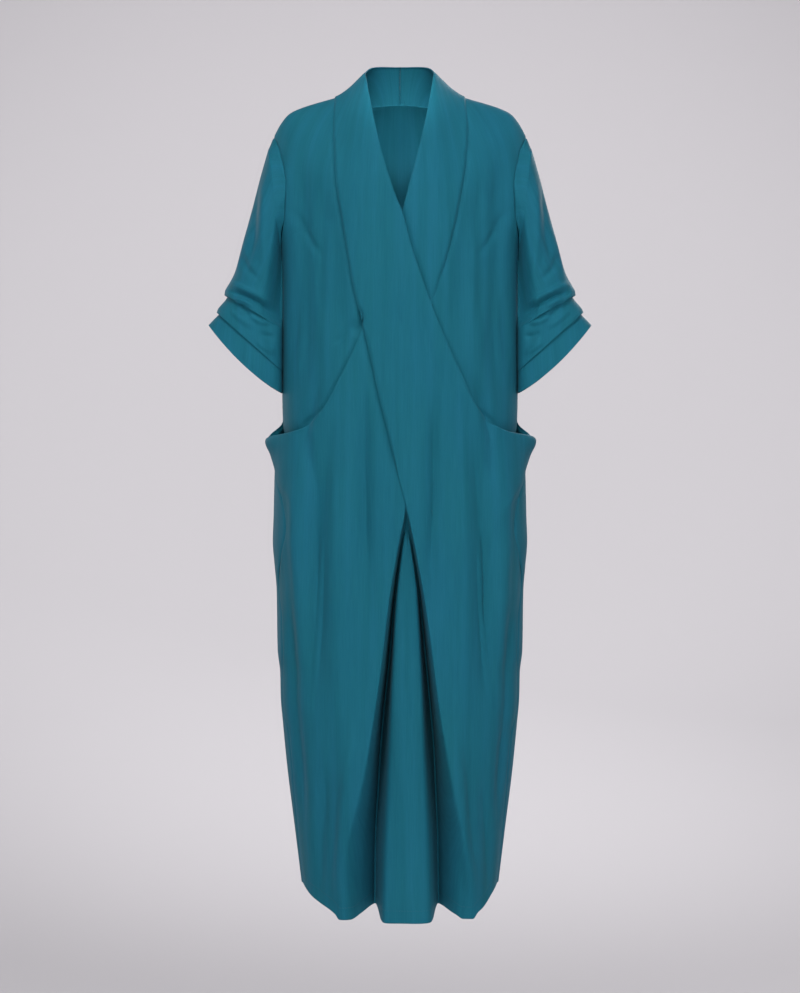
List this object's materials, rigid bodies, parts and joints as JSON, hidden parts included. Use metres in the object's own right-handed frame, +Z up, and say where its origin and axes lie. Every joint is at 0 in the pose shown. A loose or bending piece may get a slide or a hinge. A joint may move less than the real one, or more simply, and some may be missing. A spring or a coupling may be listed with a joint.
{
  "type": "kimono dress",
  "caption": "Long wrap-front dress with a shawl collar that runs into crossing bands, pocket mouths and the skirt, elbow sleeves with cuffs, and a pleated centre front.",
  "frame": {"origin": "midway between the two points where the collar meets the shoulder line, which is where a wearer's shoulders hold the dress", "axes": "+Z up, the front of the dress faces -Y, +X is the wearer's left"},
  "size_m": [0.5932, 0.2422, 1.3174],
  "materials": {
    "cloth": "soft matt weave with a faint sheen"
  },
  "bodies": {
    "root": {"back": "cloth", "back_shoulder_right": "cloth", "back_shoulder_left": "cloth", "side_front_right": "cloth", "side_front_left": "cloth", "collar_right": "cloth", "collar_left": "cloth", "wrap_under": "cloth", "wrap_over": "cloth", "centre_panel": "cloth", "sleeve_right": "cloth", "cuff_right": "cloth", "sleeve_left": "cloth", "cuff_left": "cloth"}
  },
  "joints": []
}
